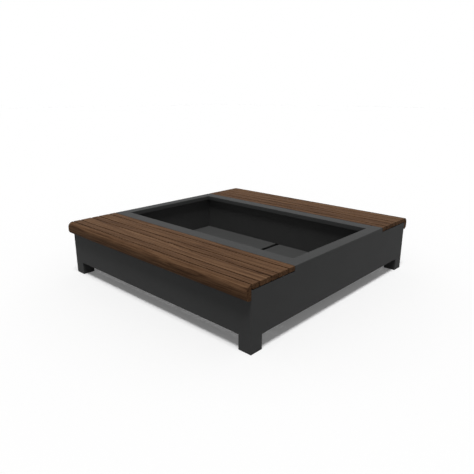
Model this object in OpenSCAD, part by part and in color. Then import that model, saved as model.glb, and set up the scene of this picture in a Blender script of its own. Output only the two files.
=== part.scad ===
// Square planter of folded sheet steel with a timber seat along its front and back.
// Millimetres. The origin is the centre of the footprint on the ground, +Z up.
// The seats run along X. The front seat is at -Y, the right side is at +X.

/* [Body] */
// Length of the body along the seats
body_l = 2000; // [1600:10:2400]
// Width of the body across the seats, without the noses
body_w = 2000; // [1700:10:2400]
// Height of the rim and the seats above the ground
body_h = 450; // [400:5:500]
// Clear height under the body
leg_h = 102; // [60:1:140]

/* [Folded sheet] */
// Thickness of the outer sheet steel
sheet_t = 3; // [2:0.5:4]
// Inner radius of every fold
fold_r = 1; // [0.5:0.5:3]
// Width of the rim beside the planting opening
rim_w = 92; // [80:1:120]
// Width of the strip between a seat and the opening
strip_w = 103; // [85:1:125]
// Height of the lip that turns down at the opening
lip_h = 36; // [20:1:60]
// Width of the flanges along the lower edges and under the seats
ledge_w = 40; // [30:1:50]

/* [Seats] */
// Thickness of the slats
slat_t = 32; // [26:1:40]
// Width of the narrow slats
narrow_w = 57; // [48:1:75]
// Width of the wide slats
wide_w = 96; // [80:1:110]
// Gap in front of each slat
slat_gap = 9; // [4:0.5:12]
// Gap between the steel rim and the first slat
steel_gap = 3; // [1:0.5:6]
// Radius of the slats' upper edges
slat_edge_r = 3; // [1:0.5:6]
// How far the rounded nose stands in front of the panel
nose_d = 45; // [34:1:50]
// Height of the rounded nose
nose_h = 98; // [86:1:112]
// Radius of the nose's upper edge
nose_top_r = 30; // [15:1:34]
// Radius of the nose's lower edge
nose_low_r = 45; // [20:1:50]

/* [Seat bearers] */
// Number of bearers under each seat
bearer_n = 4; // [3:1:6]
// Distance of the outer bearers from the body's ends
bearer_inset = 100; // [70:5:160]
// Width of a bearer's flat bar
bearer_w = 50; // [44:1:70]
// Thickness of a bearer's bars, and the gap under the slat ends
bar_t = 6; // [4:0.5:8]
// Depth of a bearer's upright bar
bearer_rib_h = 40; // [30:1:60]
// Height of the plate on a bearer's inner end
end_plate_h = 66; // [56:1:80]

/* [Planting bed] */
// Height of the bed floor above the body's lower edge
bed_rise = 10; // [9:0.5:20]
// How far the bed's inner walls stand back behind the lip
setback = 30; // [15:1:40]
// Thickness of the inner walls
inner_t = 2; // [1.5:0.5:3]
// Width of the inner walls' stiffening flanges
inner_flange_w = 20; // [12:1:25]
// Width of the drainage slot between the two floor panels
slot_w = 40; // [10:1:60]
// Clearance around the floor panels
floor_clear = 1; // [0.5:0.5:3]
// Width of a floor beam
beam_w = 50; // [40:1:60]
// Height of a floor beam
beam_h = 50; // [30:1:55]
// Wall of the floor beams
beam_t = 3; // [2:0.5:5]
// Width of a wall spacer
spacer_w = 40; // [25:1:60]
// Wall of the spacers
spacer_t = 2; // [1.5:0.5:3]
// Number of spacers behind each inner wall
spacer_n = 3; // [2:1:5]

/* [Legs] */
// Width of the square legs
leg_w = 100; // [80:5:120]
// Wall of the legs
leg_t = 4; // [3:0.5:6]
// Thickness of the plate that closes each leg
leg_cap_t = 6; // [5:0.5:10]
// Width of the plates inside the body's corners
corner_plate_w = 140; // [125:5:160]
// Thickness of the plates inside the body's corners
corner_plate_t = 6; // [5:0.5:10]
// Thickness of the foot pads under the legs
pad_t = 3; // [2:0.5:6]
// Height of the foot pads' plugs inside the legs
plug_h = 16; // [10:1:20]
// Clearance around a plug
plug_clear = 0.3; // [0.1:0.1:0.8]

/* [Fasteners] */
// Diameter of the bolts that hold the legs
leg_bolt_d = 10; // [8:1:12]
// Distance between the leg bolts
leg_bolt_pitch = 52; // [46:1:56]
// Diameter of the bolts that hold the bearers
bearer_bolt_d = 8; // [6:1:8]
// Diameter of the screws in the slats
slat_screw_d = 5; // [4:0.5:6]
// Diameter of the screws in the noses
nose_screw_d = 6; // [5:0.5:8]
// Number of screw places along a nose
nose_screw_n = 5; // [3:1:7]
// How deep the screws go into the timber
screw_bite = 22; // [14:1:24]
// Extra width of every hole over its bolt or screw
hole_clear = 0.6; // [0.4:0.2:1.2]

/* [Hidden] */
$fn = 32;
STEEL = "#3f4143";
STEEL_DARK = "#323436";
TIMBER = "#6b4a35";
ZINC = "#9a9c9e";
RUBBER = "#1f1f20";

half_l = body_l / 2;
half_w = body_w / 2;
bend_r = fold_r + sheet_t;

// Slat widths from the rim outwards
SLATS = [narrow_w, wide_w, narrow_w, wide_w, narrow_w];
function width_before(i) = i == 0 ? 0 : width_before(i - 1) + SLATS[i - 1] + slat_gap;
seat_w = steel_gap + width_before(len(SLATS));

// Heights
slat_z = body_h - slat_t;
panel_top = slat_z - bar_t;
ledge_top = leg_h + sheet_t;
bed_z = leg_h + bed_rise;
rim_under = body_h - sheet_t;

// Places, all for the front seat and the right side
cross_y = -half_w + seat_w;
open_y = cross_y + strip_w;
open_x = half_l - rim_w;
bed_y = open_y - setback;
bed_x = open_x + setback;
leg_x = half_l - leg_w / 2;
leg_y = -half_w + leg_w / 2;
web_x = half_l - sheet_t;
web_y = -half_w + sheet_t;
flange_y = -half_w + ledge_w;
side_spacer_d = web_x - bed_x - inner_t;
end_spacer_d = bed_y - inner_t - cross_y - sheet_t;
floor_edge_x = web_x - floor_clear;
floor_edge_y = cross_y + sheet_t + floor_clear;
BEARERS_X = [for (i = [0 : bearer_n - 1])
    -half_l + bearer_inset + i * (body_l - 2 * bearer_inset) / (bearer_n - 1)];
BEAMS_X = [slot_w / 2 + sheet_t + floor_clear + beam_w / 2, (slot_w / 2 + floor_edge_x) / 2];
NOSE_SCREWS_X = [for (i = [0 : nose_screw_n - 1]) (i - (nose_screw_n - 1) / 2) * body_l / nose_screw_n];

// Bolt and screw shapes, as shares of their diameter
HEAD_W = 1.85;
HEAD_T = 0.64;
SCREW_HEAD_W = 2;
SCREW_HEAD_T = 0.6;
SINK_T = 0.5;
// Distance of the bearers' bolts and screws from the upright bar's middle
bolt_off = bar_t / 2 + bearer_w / 4;
// Distance of the screws in the outermost slat from the flange's edge
screw_edge = 12;
nose_screw_drop = nose_h / 2 + 10;
nose_screw_rise = 20;

// Shared shapes

module block(low, high) {
    translate(low) cube(high - low);
}

module both_y() {
    children();
    mirror([0, 1, 0]) children();
}

module both_x() {
    children();
    mirror([1, 0, 0]) children();
}

// A profile run along X, its first axis along Y and its second along Z
module run_x(length) {
    rotate([90, 0, 90]) linear_extrude(height = length, center = true) children();
}

// A profile run along Y, its first axis along X and its second along Z
module run_y(length) {
    rotate([90, 0, 0]) linear_extrude(height = length, center = true) children();
}

module round_rect(w, h, r) {
    translate([r, 0]) square([w - 2 * r, h]);
    translate([0, r]) square([w, h - 2 * r]);
    for (x = [r, w - r]) for (y = [r, h - r]) translate([x, y]) circle(r);
}

// Folded sheet: an upright web, a top flange with an optional lip, and a bottom flange
module fold(h, top_w, lip, bottom_w, t, r) {
    outer_w = lip > 0 ? top_w : max(top_w, bottom_w) + 3 * r;
    difference() {
        round_rect(outer_w, h, r + t);
        translate([t, t]) round_rect(outer_w - 2 * t, h - 2 * t, r);
        translate([bottom_w, -1]) square([outer_w, h + 1 - max(lip, t + r)]);
        if (lip == 0) translate([top_w, -1]) square([outer_w, h + 2]);
    }
}

module bolt(d, grip, nut = true) {
    rotate([0, 0, 30]) cylinder(d = d * HEAD_W, h = d * HEAD_T, $fn = 6);
    translate([0, 0, -grip - (nut ? d : 0)]) cylinder(d = d, h = grip + (nut ? d : 0) + 0.1);
    if (nut) translate([0, 0, -grip - d * HEAD_T]) cylinder(d = d * HEAD_W, h = d * HEAD_T, $fn = 6);
}

// Pan-head screw along +Z: the head lies below zero, the shank reaches up
module screw(d, reach) {
    translate([0, 0, -d * SCREW_HEAD_T]) cylinder(d = d * SCREW_HEAD_W, h = d * SCREW_HEAD_T);
    translate([0, 0, -0.1]) cylinder(d = d, h = reach + 0.1);
}

// Steel skin

module side_panel() {
    notch_y = half_w - seat_w;
    lip_end = -open_y + sheet_t;
    difference() {
        translate([half_l, 0, leg_h]) mirror([1, 0, 0])
            run_y(body_w) fold(body_h - leg_h, rim_w, lip_h, ledge_w, sheet_t, fold_r);
        both_y() {
            // the step under the seat ends
            block([open_x - 1, notch_y, panel_top], [half_l + 1, half_w + 1, body_h + 1]);
            // the lower flange makes room for the corner plate
            block([half_l - ledge_w - 1, half_w - corner_plate_w, leg_h - 1],
                [web_x, half_w + 1, ledge_top + fold_r]);
            // the lip ends at the cross wall's lip
            block([open_x - 1, lip_end, body_h - lip_h - 1],
                [open_x + bend_r, notch_y + 1, body_h + 1]);
        }
    }
    both_y() {
        block([open_x, lip_end, rim_under], [open_x + bend_r, notch_y, body_h]);
        // beside the corner plate the web runs straight down onto the leg
        block([web_x, half_w - corner_plate_w, leg_h], [half_l, half_w, leg_h + bend_r]);
    }
}

module end_panel() {
    difference() {
        translate([0, -half_w, leg_h]) run_x(2 * web_x)
            fold(panel_top - leg_h, ledge_w, 0, ledge_w, sheet_t, fold_r);
        both_x() block([half_l - corner_plate_w, web_y, leg_h - 1],
            [half_l, flange_y + 1, ledge_top + fold_r]);
        nose_screw_places() cylinder(d = nose_screw_d + hole_clear, h = 4 * sheet_t, center = true);
        for (x = BEARERS_X) bearer_screw_places(x) translate([0, 0, -2 * bar_t - sheet_t])
            cylinder(d = bearer_bolt_d + hole_clear, h = 2 * bar_t + sheet_t);
    }
    both_x() block([half_l - corner_plate_w, -half_w, leg_h], [web_x, web_y, leg_h + bend_r]);
}

module cross_wall() {
    difference() {
        translate([0, cross_y, leg_h]) run_x(2 * web_x)
            fold(body_h - leg_h, strip_w, lip_h, ledge_w, sheet_t, fold_r);
        both_x() {
            // the side panels' rim passes over the ends
            block([open_x, cross_y - 1, rim_under], [half_l, open_y + 1, body_h + 1]);
            block([open_x, cross_y + sheet_t, body_h - lip_h - 1], [half_l, open_y + 1, body_h + 1]);
            // the side panels' lower flange passes under the ends
            block([half_l - ledge_w, cross_y - 1, leg_h - 1],
                [half_l, cross_y + ledge_w + 1, ledge_top]);
        }
        for (x = BEARERS_X) bearer_bolt_places(x)
            cylinder(d = bearer_bolt_d + hole_clear, h = 4 * (bar_t + sheet_t), center = true);
    }
}

// Planting bed

module inner_end_wall() {
    translate([0, bed_y, bed_z]) mirror([0, 1, 0]) run_x(2 * bed_x)
        fold(rim_under - bed_z, inner_flange_w, 0, inner_flange_w, inner_t, fold_r);
}

module inner_side_wall() {
    translate([bed_x, 0, bed_z]) run_y(-2 * (bed_y - inner_t))
        fold(rim_under - bed_z, inner_flange_w, 0, inner_flange_w, inner_t, fold_r);
}

// A tray turned upside down, whose turned-down edges stand on the ledges
module floor_panel() {
    low = [slot_w / 2, floor_edge_y, ledge_top];
    high = [floor_edge_x, -floor_edge_y, bed_z];
    wall = [sheet_t, sheet_t, 0];
    difference() {
        block(low, high);
        block(low + wall - [0, 0, 1], high - wall - [0, 0, sheet_t]);
    }
}

module floor_beam(x) {
    length = -2 * cross_y;
    difference() {
        translate([x, 0, bed_z - sheet_t - beam_h]) translate([-beam_w / 2, 0, 0]) run_y(length)
            difference() {
                square([beam_w, beam_h]);
                translate([beam_t, beam_t]) square([beam_w - 2 * beam_t, beam_h - 2 * beam_t]);
            }
        // the ends are cut back to fit under the cross walls' ledges
        both_y() block([x - beam_w, -cross_y - ledge_w, leg_h], [x + beam_w, -cross_y + 1, bed_z]);
    }
}

// An upright channel, its back against the inner wall at the origin and its depth along Y
module spacer(depth) {
    h = rim_under - bed_z - 2 * inner_t;
    translate([-spacer_w / 2, 0, bed_z + inner_t]) difference() {
        cube([spacer_w, depth, h]);
        translate([spacer_t, spacer_t, -1]) cube([spacer_w, depth - 2 * spacer_t, h + 2]);
    }
}

module spacer_row(run, depth) {
    for (i = [0 : spacer_n - 1])
        translate([(i - (spacer_n - 1) / 2) * run / spacer_n, 0, 0]) spacer(depth);
}

// Legs

module corner_plate() {
    difference() {
        block([half_l - corner_plate_w, web_y, leg_h],
            [web_x, -half_w + corner_plate_w, leg_h + corner_plate_t]);
        leg_bolt_holes();
    }
}

module leg_bolt_places() {
    for (dx = [-1, 1]) for (dy = [-1, 1])
        translate([leg_x + dx * leg_bolt_pitch / 2, leg_y + dy * leg_bolt_pitch / 2, leg_h + corner_plate_t])
            children();
}

module leg_bolt_holes() {
    depth = 4 * (corner_plate_t + leg_cap_t);
    leg_bolt_places() cylinder(d = leg_bolt_d + hole_clear, h = depth, center = true);
}

module leg() {
    inner = leg_w - 2 * leg_t;
    difference() {
        translate([leg_x, leg_y, 0]) difference() {
            block([-leg_w / 2, -leg_w / 2, pad_t], [leg_w / 2, leg_w / 2, leg_h]);
            block([-inner / 2, -inner / 2, 0], [inner / 2, inner / 2, leg_h - leg_cap_t]);
        }
        leg_bolt_holes();
    }
}

module foot_pad() {
    plug = leg_w / 2 - leg_t - plug_clear;
    translate([leg_x, leg_y, 0]) {
        block([-leg_w / 2 + 1, -leg_w / 2 + 1, 0], [leg_w / 2 - 1, leg_w / 2 - 1, pad_t]);
        block([-plug, -plug, 0], [plug, plug, pad_t + plug_h]);
    }
}

// Seats

function slat_y(i) = cross_y - steel_gap - width_before(i) - SLATS[i] / 2;
function slat_screw_y(i) = max(slat_y(i), flange_y + screw_edge);

module slat(i) {
    w = SLATS[i];
    difference() {
        translate([0, slat_y(i) - w / 2, slat_z]) run_x(body_l) difference() {
            translate([0, -2 * slat_edge_r]) round_rect(w, slat_t + 2 * slat_edge_r, slat_edge_r);
            translate([-1, -3 * slat_edge_r]) square([w + 2, 3 * slat_edge_r]);
        }
        for (x = BEARERS_X) slat_screw_places(x, i)
            cylinder(d = slat_screw_d + hole_clear, h = bar_t + screw_bite + 2);
    }
}

module nose() {
    difference() {
        translate([0, -half_w - nose_d, body_h - nose_h]) run_x(body_l) difference() {
            hull() {
                translate([nose_top_r, nose_h - nose_top_r]) circle(nose_top_r, $fn = 96);
                translate([nose_low_r, nose_low_r]) circle(nose_low_r, $fn = 96);
                translate([nose_d, nose_h - nose_top_r]) square([1, nose_top_r]);
            }
            translate([nose_d, -1]) square([2 * nose_h, nose_h + 2]);
        }
        nose_screw_places() translate([0, 0, -sheet_t - screw_bite - 2])
            cylinder(d = nose_screw_d + hole_clear, h = sheet_t + screw_bite + 2);
    }
}

module bearer(x) {
    rib_y = flange_y + 2;
    difference() {
        union() {
            block([x - bearer_w / 2, web_y, panel_top], [x + bearer_w / 2, cross_y, slat_z]);
            block([x - bar_t / 2, rib_y, panel_top - bearer_rib_h], [x + bar_t / 2, cross_y, panel_top]);
            block([x - bearer_w / 2, cross_y - bar_t, slat_z - end_plate_h],
                [x + bearer_w / 2, cross_y, slat_z]);
        }
        for (i = [0 : len(SLATS) - 1]) slat_screw_places(x, i)
            translate([0, 0, -1]) cylinder(d = slat_screw_d + hole_clear, h = bar_t + 2);
        bearer_bolt_places(x) cylinder(d = bearer_bolt_d + hole_clear, h = 4 * bar_t, center = true);
        bearer_screw_places(x) sunk_screw(hole_clear);
    }
}

// Places where fasteners go

// On the underside of a bearer's flat bar, pointing up
module slat_screw_places(x, i) {
    for (s = [-1, 1]) translate([x + s * bolt_off, slat_screw_y(i), panel_top]) children();
}

// On the face of a bearer's end plate, pointing out towards the seat's front
module bearer_bolt_places(x) {
    z = slat_z - end_plate_h + 1.5 * bearer_bolt_d;
    for (s = [-1, 1]) translate([x + s * bolt_off, cross_y - bar_t, z]) rotate([90, 0, 0]) children();
}

// On top of a bearer's flat bar over the panel's flange, pointing up
module bearer_screw_places(x) {
    for (s = [-1, 1]) translate([x + s * bolt_off, (web_y + flange_y) / 2, slat_z]) children();
}

// On the inner face of the panel, pointing inwards
module nose_screw_places() {
    for (x = NOSE_SCREWS_X) for (dz = [0, nose_screw_rise])
        translate([x, web_y, body_h - nose_screw_drop - dz]) rotate([-90, 0, 0]) children();
}

// Countersunk bolt with a nut, its head flush at zero, pointing down
module sunk_screw(extra) {
    d = bearer_bolt_d + extra;
    head = 2 * bearer_bolt_d * SINK_T;
    translate([0, 0, -bearer_bolt_d * SINK_T]) cylinder(d1 = d, d2 = d + head, h = bearer_bolt_d * SINK_T);
    translate([0, 0, -bar_t - sheet_t - bearer_bolt_d]) cylinder(d = d, h = bar_t + sheet_t + bearer_bolt_d);
}

// Nodes

module side_panel_left() { color(STEEL) mirror([1, 0, 0]) side_panel(); }
module side_panel_right() { color(STEEL) side_panel(); }
module front_panel() { color(STEEL) end_panel(); }
module back_panel() { color(STEEL) mirror([0, 1, 0]) end_panel(); }
module cross_wall_front() { color(STEEL) cross_wall(); }
module cross_wall_back() { color(STEEL) mirror([0, 1, 0]) cross_wall(); }
module inner_wall_left() { color(STEEL_DARK) mirror([1, 0, 0]) inner_side_wall(); }
module inner_wall_right() { color(STEEL_DARK) inner_side_wall(); }
module inner_wall_front() { color(STEEL_DARK) inner_end_wall(); }
module inner_wall_back() { color(STEEL_DARK) mirror([0, 1, 0]) inner_end_wall(); }
module floor_panel_left() { color(STEEL) mirror([1, 0, 0]) floor_panel(); }
module floor_panel_right() { color(STEEL) floor_panel(); }

module floor_beam_node(i) {
    n = len(BEAMS_X);
    color(STEEL_DARK) floor_beam(i <= n ? -BEAMS_X[n - i] : BEAMS_X[i - n - 1]);
}

module spacers_front() {
    color(ZINC) translate([0, bed_y - inner_t, 0]) mirror([0, 1, 0]) spacer_row(2 * bed_x, end_spacer_d);
}
module spacers_back() { mirror([0, 1, 0]) spacers_front(); }
module spacers_right() {
    color(ZINC) translate([bed_x + inner_t, 0, 0]) rotate([0, 0, -90]) spacer_row(-2 * bed_y, side_spacer_d);
}
module spacers_left() { mirror([1, 0, 0]) spacers_right(); }

module at_corner(side, end) {
    mirror([side == "left" ? 1 : 0, 0, 0]) mirror([0, end == "back" ? 1 : 0, 0]) children();
}

module corner_plate_node(end, side) { color(STEEL_DARK) at_corner(side, end) corner_plate(); }
module leg_node(end, side) { color(STEEL) at_corner(side, end) leg(); }
module foot_pad_node(end, side) { color(RUBBER) at_corner(side, end) foot_pad(); }

module front_slat(i) { color(TIMBER) slat(i - 1); }
module back_slat(i) { color(TIMBER) mirror([0, 1, 0]) slat(i - 1); }
module front_nose() { color(TIMBER) nose(); }
module back_nose() { color(TIMBER) mirror([0, 1, 0]) nose(); }
module front_bearer(i) { color(STEEL_DARK) bearer(BEARERS_X[i - 1]); }
module back_bearer(i) { color(STEEL_DARK) mirror([0, 1, 0]) bearer(BEARERS_X[i - 1]); }

module slat_screws_front() {
    color(ZINC) for (x = BEARERS_X) for (i = [0 : len(SLATS) - 1])
        slat_screw_places(x, i) screw(slat_screw_d, bar_t + screw_bite);
}
module slat_screws_back() { mirror([0, 1, 0]) slat_screws_front(); }

module nose_screws() {
    color(ZINC) both_y() nose_screw_places() mirror([0, 0, 1]) screw(nose_screw_d, sheet_t + screw_bite);
}

module bearer_bolts() {
    color(ZINC) both_y() for (x = BEARERS_X) bearer_bolt_places(x) bolt(bearer_bolt_d, bar_t + sheet_t);
}

module bearer_screws() {
    nut_t = bearer_bolt_d * HEAD_T;
    color(ZINC) both_y() for (x = BEARERS_X) bearer_screw_places(x) {
        sunk_screw(0);
        translate([0, 0, -bar_t - sheet_t - nut_t]) cylinder(d = bearer_bolt_d * HEAD_W, h = nut_t, $fn = 6);
    }
}

module leg_bolts() {
    color(ZINC) both_x() both_y() leg_bolt_places() bolt(leg_bolt_d, corner_plate_t + leg_cap_t);
}

side_panel_left();
side_panel_right();
front_panel();
back_panel();
cross_wall_front();
cross_wall_back();
inner_wall_left();
inner_wall_right();
inner_wall_front();
inner_wall_back();
floor_panel_left();
floor_panel_right();
for (i = [1 : 2 * len(BEAMS_X)])
    floor_beam_node(i);
spacers_left();
spacers_right();
spacers_front();
spacers_back();
for (end = ["front", "back"]) for (side = ["left", "right"]) {
    corner_plate_node(end, side);
    leg_node(end, side);
    foot_pad_node(end, side);
}
for (i = [1 : len(SLATS)]) {
    front_slat(i);
    back_slat(i);
}
front_nose();
back_nose();
for (i = [1 : bearer_n]) {
    front_bearer(i);
    back_bearer(i);
}
slat_screws_front();
slat_screws_back();
nose_screws();
bearer_bolts();
bearer_screws();
leg_bolts();
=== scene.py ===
import math

import bmesh
import bpy
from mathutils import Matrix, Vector


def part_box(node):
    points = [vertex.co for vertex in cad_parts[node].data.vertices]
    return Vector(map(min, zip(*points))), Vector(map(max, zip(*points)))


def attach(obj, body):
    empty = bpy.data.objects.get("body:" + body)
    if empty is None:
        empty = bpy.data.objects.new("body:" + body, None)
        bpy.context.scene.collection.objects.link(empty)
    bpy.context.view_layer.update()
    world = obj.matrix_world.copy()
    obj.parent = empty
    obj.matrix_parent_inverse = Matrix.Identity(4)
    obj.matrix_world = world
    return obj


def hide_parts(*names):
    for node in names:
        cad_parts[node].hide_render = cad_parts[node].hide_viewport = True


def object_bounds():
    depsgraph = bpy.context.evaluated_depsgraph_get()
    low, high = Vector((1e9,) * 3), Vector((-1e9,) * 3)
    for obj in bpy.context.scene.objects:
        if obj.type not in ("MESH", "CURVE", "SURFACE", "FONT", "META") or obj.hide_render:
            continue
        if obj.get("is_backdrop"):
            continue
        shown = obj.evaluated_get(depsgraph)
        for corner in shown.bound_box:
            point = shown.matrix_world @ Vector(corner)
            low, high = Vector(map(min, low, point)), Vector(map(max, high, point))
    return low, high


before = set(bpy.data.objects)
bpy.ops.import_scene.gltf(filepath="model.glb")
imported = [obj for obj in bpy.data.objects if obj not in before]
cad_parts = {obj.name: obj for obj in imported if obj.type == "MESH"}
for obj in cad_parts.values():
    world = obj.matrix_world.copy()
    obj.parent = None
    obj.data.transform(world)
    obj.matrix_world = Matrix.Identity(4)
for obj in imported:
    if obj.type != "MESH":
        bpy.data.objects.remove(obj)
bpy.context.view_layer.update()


# ---------------------------------------------------------------- Camera
# The planter is seen from off its front right corner, from a little below standing eye
# level, through a 35 mm lens on a square picture. Upright edges converge slightly downwards.
IMAGE_SIDE_PX = 474
FOCAL_PX = 460.83
SENSOR_MM = 36
CAMERA_PLACE = (2.5654, -2.7975, 1.4570)
CAMERA_PITCH_DEG = 17.003
CAMERA_TURN_DEG = 43.005

camera_data = bpy.data.cameras.new("view")
camera_data.sensor_width = SENSOR_MM
camera_data.lens = SENSOR_MM * FOCAL_PX / IMAGE_SIDE_PX
camera = bpy.data.objects.new("view", camera_data)
camera.location = CAMERA_PLACE
camera.rotation_euler = (math.radians(90 - CAMERA_PITCH_DEG), 0, math.radians(CAMERA_TURN_DEG))
bpy.context.scene.collection.objects.link(camera)
bpy.context.scene.camera = camera


# ---------------------------------------------------------------- Studio
# A pale floor that runs on until it is lost in the white behind, carries painted shade round the planter
# and throws back less light than it shows, one broad lamp high up on the camera's side, and a fill mostly
# from the sides.
WHITE = (1, 1, 1, 1)
FLOOR_SIDE = 120.0
FLOOR_TONE = 0.90  # as it is seen
FLOOR_THROW = 0.27  # as it lights the planter
# Painted shade: the glow is weaker near the planter than away from it, so the floor is darker round it.
NEAR_LIFT, FAR_LIFT = 0.118, 0.149  # a glow on top, near the planter and away from it
PAINTED_SHADE_REACH = (1.1, 1.9)  # distances from the middle, in metres, between which the glow grows
KEY_LEVEL = 0.795
KEY_SPREAD_DEG = 18
KEY_LEAN = (0.185, -0.228, 1)
FILL_SIDES, FILL_ABOVE = 0.65, 0.14
FILL_REACH = (0.0, 0.50)  # heights of the sky between which the fill fades


def connect(tree, node, sockets):
    """Fills a node's inputs: linked where given another node's socket, set where given a value."""
    for socket, value in sockets.items():
        if isinstance(value, bpy.types.NodeSocket):
            tree.links.new(value, node.inputs[socket])
        else:
            node.inputs[socket].default_value = value


def add_node(tree, kind, sockets=None, **settings):
    """A new node with its settings and its inputs."""
    made = tree.nodes.new(kind)
    for key, value in settings.items():
        setattr(made, key, value)
    connect(tree, made, sockets or {})
    return made


def maths(tree, kind, first, second=0.0):
    """The result of one sum."""
    return add_node(tree, "ShaderNodeMath", {0: first, 1: second}, operation=kind).outputs[0]


def length(tree, vector):
    """How long a vector is."""
    return add_node(tree, "ShaderNodeVectorMath", {0: vector}, operation="LENGTH").outputs["Value"]


def parts(tree, vector):
    """A vector's X, Y and Z outputs."""
    return add_node(tree, "ShaderNodeSeparateXYZ", {0: vector}).outputs


def remap(tree, value, source, target):
    """A value carried from one range into another and kept inside it."""
    return add_node(tree, "ShaderNodeMapRange",
                    {"Value": value, "From Min": source[0], "From Max": source[1],
                     "To Min": target[0], "To Max": target[1]}).outputs[0]


def seen_directly(tree):
    """1 for what the camera, a gloss or a clear material sees, 0 for light on the object."""
    ray = add_node(tree, "ShaderNodeLightPath").outputs
    either = maths(tree, "MAXIMUM", ray["Is Camera Ray"], ray["Is Glossy Ray"])
    return maths(tree, "MAXIMUM", either, ray["Is Transmission Ray"])


world = bpy.data.worlds.new("studio")
world.use_nodes = True
tree = world.node_tree
tree.nodes.clear()
height = parts(tree, add_node(tree, "ShaderNodeTexCoord").outputs["Generated"])["Z"]
level = remap(tree, height, FILL_REACH, (FILL_SIDES, FILL_ABOVE))
fill = add_node(tree, "ShaderNodeBackground", {"Color": WHITE, "Strength": level})
paper = add_node(tree, "ShaderNodeBackground", {"Color": WHITE, "Strength": 1.0})
sky = add_node(tree, "ShaderNodeMixShader",
               {0: seen_directly(tree), 1: fill.outputs[0], 2: paper.outputs[0]})
add_node(tree, "ShaderNodeOutputWorld", {"Surface": sky.outputs[0]})
bpy.context.scene.world = world
bpy.context.scene.view_settings.view_transform = "Standard"

floor_paint = bpy.data.materials.new("studio_floor")
floor_paint.use_nodes = True
tree = floor_paint.node_tree
tree.nodes.clear()
away = length(tree, add_node(tree, "ShaderNodeTexCoord").outputs["Object"])
# Painted shade round the planter: the glow grows with distance from the middle.
lift = remap(tree, away, PAINTED_SHADE_REACH, (NEAR_LIFT, FAR_LIFT))
shown = add_node(tree, "ShaderNodeBsdfDiffuse", {"Color": (FLOOR_TONE, FLOOR_TONE, FLOOR_TONE, 1)})
glow = add_node(tree, "ShaderNodeEmission", {"Color": WHITE, "Strength": lift})
lifted = add_node(tree, "ShaderNodeAddShader", {0: shown.outputs[0], 1: glow.outputs[0]})
thrown = add_node(tree, "ShaderNodeBsdfDiffuse", {"Color": (FLOOR_THROW, FLOOR_THROW, FLOOR_THROW, 1)})
paint = add_node(tree, "ShaderNodeMixShader",
                 {0: seen_directly(tree), 1: thrown.outputs[0], 2: lifted.outputs[0]})
add_node(tree, "ShaderNodeOutputMaterial", {"Surface": paint.outputs[0]})

half = FLOOR_SIDE / 2
floor_mesh = bpy.data.meshes.new("studio_floor")
floor_mesh.from_pydata([(-half, -half, 0), (half, -half, 0), (half, half, 0), (-half, half, 0)],
                       [], [(0, 1, 2, 3)])
floor_mesh.materials.append(floor_paint)
floor = bpy.data.objects.new("studio_floor", floor_mesh)
bpy.context.scene.collection.objects.link(floor)
floor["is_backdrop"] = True

lamp_data = bpy.data.lights.new("overhead_lamp", "SUN")
lamp_data.energy = KEY_LEVEL * math.pi
lamp_data.angle = math.radians(KEY_SPREAD_DEG)
lamp = bpy.data.objects.new("overhead_lamp", lamp_data)
lamp.rotation_euler = Vector(KEY_LEAN).to_track_quat("Z", "Y").to_euler()
bpy.context.scene.collection.objects.link(lamp)


# ---------------------------------------------------------------- Steel skin
# Two side panels, two panels under the seats and two cross walls, each one sheet of 3 mm steel
# folded on a press brake, welded together and powder coated anthracite with a fine texture.
SHEET = 0.003
FOLD_R = 0.004
LIP = 0.036
LEDGE = 0.040
CORNER = 0.140
DEBURR = 0.0005
FOLD_STEPS = 6
EASE_STEPS = 2
SHARP_DEG = 50
MERGE_GAP = 1e-6  # points nearer than this become one
FLAT_WEIGHT = 100

side_low, side_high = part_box("side_panel_right")
wall_low, wall_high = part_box("cross_wall_back")
HALF_L, HALF_W, RIM_Z, LEG_Z = side_high.x, side_high.y, side_high.z, side_low.z
OPEN_X, OPEN_Y, CROSS_Y = side_low.x, wall_low.y, wall_high.y
STEP_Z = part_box("back_panel")[1].z

# Noises of the coat: scale per metre, detail, roughness and distortion.
CLOUDS = (2.6, 5, 0.6)
PEBBLE = (750, 1.5)
DUST = (9, 8, 0.7, 0.4)
SPECK_SCALE = 420
CLOUD_SHARES = (0.90, 1.12)
SPECK_RANGE, COAT_ROUGH = (0.0, 0.6), (0.60, 0.72)
DUST_RANGE, DUST_COLOUR = (0.42, 0.72), (0.13, 0.128, 0.122, 1)
COAT_RELIEF = (0.25, 0.0003)  # strength and depth


def new_material(name):
    """A material with its tree, its shader and the object's own coordinates."""
    made = bpy.data.materials.new(name)
    made.use_nodes = True
    tree = made.node_tree
    place = add_node(tree, "ShaderNodeTexCoord").outputs["Object"]
    return made, tree, tree.nodes["Principled BSDF"], place


def noise(tree, place, scale, detail, rough=0.5, distortion=0.0):
    """The grey of a noise texture."""
    return add_node(tree, "ShaderNodeTexNoise",
                    {"Vector": place, "Scale": scale, "Detail": detail, "Roughness": rough,
                     "Distortion": distortion}).outputs["Fac"]


def mix(tree, share, first, second, kind="MIX"):
    """Two colours mixed by a share."""
    return add_node(tree, "ShaderNodeMixRGB", {0: share, 1: first, 2: second}, blend_type=kind).outputs[0]


def relief(tree, height, strength, depth):
    """A fine relief for a shader's normal."""
    return add_node(tree, "ShaderNodeBump",
                    {"Height": height, "Strength": strength, "Distance": depth}).outputs[0]


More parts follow.
